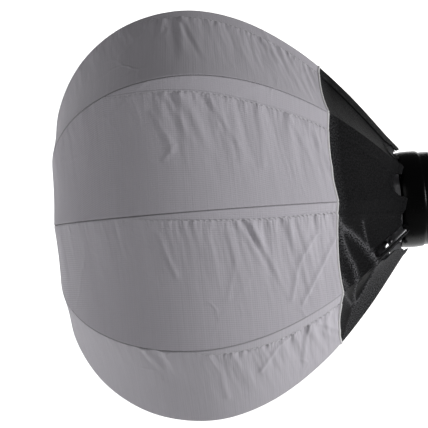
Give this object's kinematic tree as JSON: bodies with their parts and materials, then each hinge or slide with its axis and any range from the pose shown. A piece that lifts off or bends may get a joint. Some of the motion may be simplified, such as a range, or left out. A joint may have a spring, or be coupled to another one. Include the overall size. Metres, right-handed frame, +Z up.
{
  "type": "lantern softbox",
  "caption": "Folding lantern softbox: white fabric globe and black rear skirt on ten sprung ribs, hinged to a drum with a three-lug bayonet for a studio light.",
  "frame": {"origin": "centre of the bayonet's seating face", "axes": "+X out of the bayonet towards the light, +Z up, rib 01 towards -Y"},
  "size_m": [0.595, 0.65, 0.6182],
  "materials": {
    "white_cloth": "woven white polyester diffusion cloth",
    "black_cloth": "black nylon with a silvery lining",
    "spring_rod": "drawn spring rod",
    "cast_foot": "tumbled casting",
    "gloss_black": "gloss black",
    "turned_metal": "turned and satin",
    "steel_wire": "zinc plated",
    "matt_plastic": "moulded black"
  },
  "bodies": {
    "drum": {"mount_drum": "gloss_black", "bayonet_ring": "turned_metal", "bayonet_screw_1": "steel_wire", "bayonet_screw_2": "steel_wire", "bayonet_screw_3": "steel_wire", "rib_carrier": "turned_metal", "carrier_clamp": "turned_metal", "hinge_wire": "steel_wire", "drum_liner": "matt_plastic", "lock_spring": "steel_wire", "button_spring": "steel_wire", "rear_skirt": "black_cloth", "diffuser_cover": "white_cloth"},
    "rib_01_rear": {"rib_01_foot": "cast_foot", "rib_01_rear": "spring_rod"},
    "rib_01_middle": {"rib_01_middle": "spring_rod"},
    "rib_01_front": {"rib_01_front": "spring_rod"},
    "rib_02_rear": {"rib_02_foot": "cast_foot", "rib_02_rear": "spring_rod"},
    "rib_02_middle": {"rib_02_middle": "spring_rod"},
    "rib_02_front": {"rib_02_front": "spring_rod"},
    "rib_03_rear": {"rib_03_foot": "cast_foot", "rib_03_rear": "spring_rod"},
    "rib_03_middle": {"rib_03_middle": "spring_rod"},
    "rib_03_front": {"rib_03_front": "spring_rod"},
    "rib_04_rear": {"rib_04_foot": "cast_foot", "rib_04_rear": "spring_rod"},
    "rib_04_middle": {"rib_04_middle": "spring_rod"},
    "rib_04_front": {"rib_04_front": "spring_rod"},
    "rib_05_rear": {"rib_05_foot": "cast_foot", "rib_05_rear": "spring_rod"},
    "rib_05_middle": {"rib_05_middle": "spring_rod"},
    "rib_05_front": {"rib_05_front": "spring_rod"},
    "rib_06_rear": {"rib_06_foot": "cast_foot", "rib_06_rear": "spring_rod"},
    "rib_06_middle": {"rib_06_middle": "spring_rod"},
    "rib_06_front": {"rib_06_front": "spring_rod"},
    "rib_07_rear": {"rib_07_foot": "cast_foot", "rib_07_rear": "spring_rod"},
    "rib_07_middle": {"rib_07_middle": "spring_rod"},
    "rib_07_front": {"rib_07_front": "spring_rod"},
    "rib_08_rear": {"rib_08_foot": "cast_foot", "rib_08_rear": "spring_rod"},
    "rib_08_middle": {"rib_08_middle": "spring_rod"},
    "rib_08_front": {"rib_08_front": "spring_rod"},
    "rib_09_rear": {"rib_09_foot": "cast_foot", "rib_09_rear": "spring_rod"},
    "rib_09_middle": {"rib_09_middle": "spring_rod"},
    "rib_09_front": {"rib_09_front": "spring_rod"},
    "rib_10_rear": {"rib_10_foot": "cast_foot", "rib_10_rear": "spring_rod"},
    "rib_10_middle": {"rib_10_middle": "spring_rod"},
    "rib_10_front": {"rib_10_front": "spring_rod"},
    "hub": {"front_hub": "matt_plastic", "hub_cap": "matt_plastic", "hub_screw": "steel_wire"},
    "lock": {"lock_ring": "turned_metal"},
    "button": {"release_button": "matt_plastic"}
  },
  "joints": [
    {"name": "rib_01_fold", "type": "hinge", "parent": "drum", "child": "rib_01_rear", "pos_m": [-0.063, -0.064, 0], "axis": [0, 0, -1], "range_deg": [0, 44.7], "deforming": ["rear_skirt", "diffuser_cover"]},
    {"name": "rib_01_bow_a", "type": "hinge", "parent": "rib_01_rear", "child": "rib_01_middle", "pos_m": [-0.325, -0.31435, 0], "axis": [0, 0, -1], "range_deg": [-57.57, 0]},
    {"name": "rib_01_bow_b", "type": "hinge", "parent": "rib_01_middle", "child": "rib_01_front", "pos_m": [-0.5151, -0.2603, 0], "axis": [0, 0, -1], "range_deg": [-58.19, 0]},
    {"name": "hub_level", "type": "hinge", "parent": "rib_01_front", "child": "hub", "pos_m": [-0.57578, -0.03, 0], "axis": [0, 0, -1], "range_deg": [0, 71.07]},
    {"name": "rib_02_fold", "type": "hinge", "parent": "drum", "child": "rib_02_rear", "pos_m": [-0.063, -0.05178, 0.03762], "axis": [0, -0.5878, -0.809], "range_deg": [0, 44.7]},
    {"name": "rib_02_tip", "type": "hinge", "parent": "hub", "child": "rib_02_front", "pos_m": [-0.57578, -0.02427, 0.01763], "axis": [0, -0.5878, -0.809], "range_deg": [-71.07, 0]},
    {"name": "rib_02_bow_b", "type": "hinge", "parent": "rib_02_front", "child": "rib_02_middle", "pos_m": [-0.5151, -0.21059, 0.153], "axis": [0, -0.5878, -0.809], "range_deg": [0, 58.19]},
    {"name": "rib_03_fold", "type": "hinge", "parent": "drum", "child": "rib_03_rear", "pos_m": [-0.063, -0.01978, 0.06087], "axis": [0, -0.9511, -0.309], "range_deg": [0, 44.7]},
    {"name": "rib_03_tip", "type": "hinge", "parent": "hub", "child": "rib_03_front", "pos_m": [-0.57578, -0.00927, 0.02853], "axis": [0, -0.9511, -0.309], "range_deg": [-71.07, 0]},
    {"name": "rib_03_bow_b", "type": "hinge", "parent": "rib_03_front", "child": "rib_03_middle", "pos_m": [-0.5151, -0.08044, 0.24756], "axis": [0, -0.9511, -0.309], "range_deg": [0, 58.19]},
    {"name": "rib_04_fold", "type": "hinge", "parent": "drum", "child": "rib_04_rear", "pos_m": [-0.063, 0.01978, 0.06087], "axis": [0, -0.9511, 0.309], "range_deg": [0, 44.7]},
    {"name": "rib_04_tip", "type": "hinge", "parent": "hub", "child": "rib_04_front", "pos_m": [-0.57578, 0.00927, 0.02853], "axis": [0, -0.9511, 0.309], "range_deg": [-71.07, 0]},
    {"name": "rib_04_bow_b", "type": "hinge", "parent": "rib_04_front", "child": "rib_04_middle", "pos_m": [-0.5151, 0.08044, 0.24756], "axis": [0, -0.9511, 0.309], "range_deg": [0, 58.19]},
    {"name": "rib_05_fold", "type": "hinge", "parent": "drum", "child": "rib_05_rear", "pos_m": [-0.063, 0.05178, 0.03762], "axis": [0, -0.5878, 0.809], "range_deg": [0, 44.7]},
    {"name": "rib_05_tip", "type": "hinge", "parent": "hub", "child": "rib_05_front", "pos_m": [-0.57578, 0.02427, 0.01763], "axis": [0, -0.5878, 0.809], "range_deg": [-71.07, 0]},
    {"name": "rib_05_bow_b", "type": "hinge", "parent": "rib_05_front", "child": "rib_05_middle", "pos_m": [-0.5151, 0.21059, 0.153], "axis": [0, -0.5878, 0.809], "range_deg": [0, 58.19]},
    {"name": "rib_06_fold", "type": "hinge", "parent": "drum", "child": "rib_06_rear", "pos_m": [-0.063, 0.064, 0], "axis": [0, 0, 1], "range_deg": [0, 44.7]},
    {"name": "rib_06_tip", "type": "hinge", "parent": "hub", "child": "rib_06_front", "pos_m": [-0.57578, 0.03, 0], "axis": [0, 0, 1], "range_deg": [-71.07, 0]},
    {"name": "rib_06_bow_b", "type": "hinge", "parent": "rib_06_front", "child": "rib_06_middle", "pos_m": [-0.5151, 0.2603, 0], "axis": [0, 0, 1], "range_deg": [0, 58.19]},
    {"name": "rib_07_fold", "type": "hinge", "parent": "drum", "child": "rib_07_rear", "pos_m": [-0.063, 0.05178, -0.03762], "axis": [0, 0.5878, 0.809], "range_deg": [0, 44.7]},
    {"name": "rib_07_tip", "type": "hinge", "parent": "hub", "child": "rib_07_front", "pos_m": [-0.57578, 0.02427, -0.01763], "axis": [0, 0.5878, 0.809], "range_deg": [-71.07, 0]},
    {"name": "rib_07_bow_b", "type": "hinge", "parent": "rib_07_front", "child": "rib_07_middle", "pos_m": [-0.5151, 0.21059, -0.153], "axis": [0, 0.5878, 0.809], "range_deg": [0, 58.19]},
    {"name": "rib_08_fold", "type": "hinge", "parent": "drum", "child": "rib_08_rear", "pos_m": [-0.063, 0.01978, -0.06087], "axis": [0, 0.9511, 0.309], "range_deg": [0, 44.7]},
    {"name": "rib_08_tip", "type": "hinge", "parent": "hub", "child": "rib_08_front", "pos_m": [-0.57578, 0.00927, -0.02853], "axis": [0, 0.9511, 0.309], "range_deg": [-71.07, 0]},
    {"name": "rib_08_bow_b", "type": "hinge", "parent": "rib_08_front", "child": "rib_08_middle", "pos_m": [-0.5151, 0.08044, -0.24756], "axis": [0, 0.9511, 0.309], "range_deg": [0, 58.19]},
    {"name": "rib_09_fold", "type": "hinge", "parent": "drum", "child": "rib_09_rear", "pos_m": [-0.063, -0.01978, -0.06087], "axis": [0, 0.9511, -0.309], "range_deg": [0, 44.7]},
    {"name": "rib_09_tip", "type": "hinge", "parent": "hub", "child": "rib_09_front", "pos_m": [-0.57578, -0.00927, -0.02853], "axis": [0, 0.9511, -0.309], "range_deg": [-71.07, 0]},
    {"name": "rib_09_bow_b", "type": "hinge", "parent": "rib_09_front", "child": "rib_09_middle", "pos_m": [-0.5151, -0.08044, -0.24756], "axis": [0, 0.9511, -0.309], "range_deg": [0, 58.19]},
    {"name": "rib_10_fold", "type": "hinge", "parent": "drum", "child": "rib_10_rear", "pos_m": [-0.063, -0.05178, -0.03762], "axis": [0, 0.5878, -0.809], "range_deg": [0, 44.7]},
    {"name": "rib_10_tip", "type": "hinge", "parent": "hub", "child": "rib_10_front", "pos_m": [-0.57578, -0.02427, -0.01763], "axis": [0, 0.5878, -0.809], "range_deg": [-71.07, 0]},
    {"name": "rib_10_bow_b", "type": "hinge", "parent": "rib_10_front", "child": "rib_10_middle", "pos_m": [-0.5151, -0.21059, -0.153], "axis": [0, 0.5878, -0.809], "range_deg": [0, 58.19]},
    {"name": "lock_slide", "type": "slide", "parent": "drum", "child": "lock", "axis": [1, 0, 0], "range_m": [0, 0.00801], "deforming": ["lock_spring"]},
    {"name": "button_press", "type": "slide", "parent": "drum", "child": "button", "axis": [0, -1, 0], "range_m": [0, 0.0024], "stiffness_N_per_m": 600, "deforming": ["button_spring"]}
  ],
  "couplings": [
    {"joint": "rib_01_bow_a", "follows": "rib_01_fold", "ratio": -1.288},
    {"joint": "rib_01_bow_b", "follows": "rib_01_fold", "ratio": -1.3019},
    {"joint": "hub_level", "follows": "rib_01_fold", "ratio": 1.5898},
    {"joint": "rib_02_fold", "follows": "rib_01_fold", "ratio": 1},
    {"joint": "rib_02_tip", "follows": "rib_01_fold", "ratio": -1.5898},
    {"joint": "rib_02_bow_b", "follows": "rib_01_fold", "ratio": 1.3019},
    {"joint": "rib_03_fold", "follows": "rib_01_fold", "ratio": 1},
    {"joint": "rib_03_tip", "follows": "rib_01_fold", "ratio": -1.5898},
    {"joint": "rib_03_bow_b", "follows": "rib_01_fold", "ratio": 1.3019},
    {"joint": "rib_04_fold", "follows": "rib_01_fold", "ratio": 1},
    {"joint": "rib_04_tip", "follows": "rib_01_fold", "ratio": -1.5898},
    {"joint": "rib_04_bow_b", "follows": "rib_01_fold", "ratio": 1.3019},
    {"joint": "rib_05_fold", "follows": "rib_01_fold", "ratio": 1},
    {"joint": "rib_05_tip", "follows": "rib_01_fold", "ratio": -1.5898},
    {"joint": "rib_05_bow_b", "follows": "rib_01_fold", "ratio": 1.3019},
    {"joint": "rib_06_fold", "follows": "rib_01_fold", "ratio": 1},
    {"joint": "rib_06_tip", "follows": "rib_01_fold", "ratio": -1.5898},
    {"joint": "rib_06_bow_b", "follows": "rib_01_fold", "ratio": 1.3019},
    {"joint": "rib_07_fold", "follows": "rib_01_fold", "ratio": 1},
    {"joint": "rib_07_tip", "follows": "rib_01_fold", "ratio": -1.5898},
    {"joint": "rib_07_bow_b", "follows": "rib_01_fold", "ratio": 1.3019},
    {"joint": "rib_08_fold", "follows": "rib_01_fold", "ratio": 1},
    {"joint": "rib_08_tip", "follows": "rib_01_fold", "ratio": -1.5898},
    {"joint": "rib_08_bow_b", "follows": "rib_01_fold", "ratio": 1.3019},
    {"joint": "rib_09_fold", "follows": "rib_01_fold", "ratio": 1},
    {"joint": "rib_09_tip", "follows": "rib_01_fold", "ratio": -1.5898},
    {"joint": "rib_09_bow_b", "follows": "rib_01_fold", "ratio": 1.3019},
    {"joint": "rib_10_fold", "follows": "rib_01_fold", "ratio": 1},
    {"joint": "rib_10_tip", "follows": "rib_01_fold", "ratio": -1.5898},
    {"joint": "rib_10_bow_b", "follows": "rib_01_fold", "ratio": 1.3019},
    {"joint": "lock_slide", "follows": "rib_01_fold", "m_per_rad": 0.010254}
  ]
}
